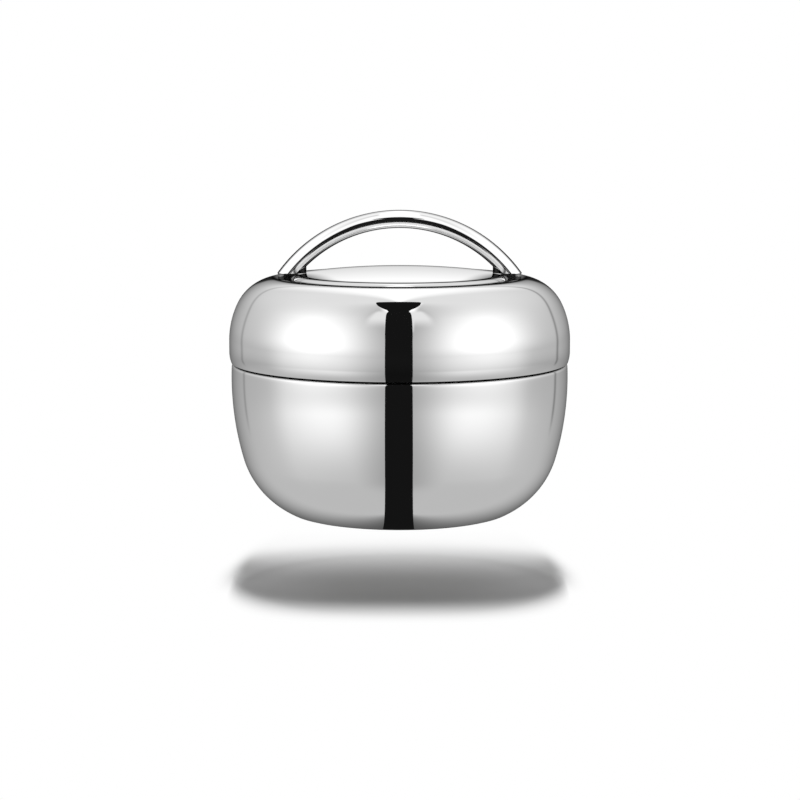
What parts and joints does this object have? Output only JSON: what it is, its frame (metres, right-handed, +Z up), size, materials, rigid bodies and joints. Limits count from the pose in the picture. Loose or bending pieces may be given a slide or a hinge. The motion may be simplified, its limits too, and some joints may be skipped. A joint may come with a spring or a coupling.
{
  "type": "insulated food container",
  "caption": "Round double-wall steel food container with a twist-lock domed lid and an arched carrying handle.",
  "frame": {"origin": "centre of the foot ring's underside, on the table under the pot's axis", "axes": "+Z up along the pot's axis; +X along the handle's arch; -Y is the side that the picture shows"},
  "size_m": [0.17, 0.17, 0.1511],
  "materials": {
    "polished_steel": "mirror-polished stainless steel",
    "plain_steel": "drawn stainless steel, satin",
    "foil": "thin reflecting foil",
    "silicone": "matt black food-grade silicone",
    "dark_plastic": "black moulded polypropylene",
    "foam": "rigid insulating foam",
    "getter_alloy": "sintered pellet"
  },
  "bodies": {
    "pot": {"outer_shell": "polished_steel", "inner_liner": "plain_steel", "base_plate": "plain_steel", "base_cap": "plain_steel", "evacuation_seal": "plain_steel", "getter": "getter_alloy", "heat_foil": "foil", "foot_ring": "silicone", "neck_collar": "dark_plastic"},
    "seal": {"lid_seal": "silicone"},
    "lid": {"lid_outer_shell": "polished_steel", "lid_inner_shell": "plain_steel", "lid_insulation": "foam", "lock_ring": "dark_plastic", "handle": "polished_steel", "handle_seats": "polished_steel", "handle_pads": "silicone", "handle_washers": "plain_steel", "handle_spring_washers": "plain_steel", "handle_screws": "plain_steel"}
  },
  "joints": [
    {"name": "lid_lift", "type": "slide", "parent": "pot", "child": "seal", "axis": [0, 0, 1], "range_m": [0, 0.12]},
    {"name": "lid_turn", "type": "hinge", "parent": "seal", "child": "lid", "pos_m": [0, 0, 0.0889], "axis": [0, 0, 1], "range_deg": [0, 50]}
  ]
}
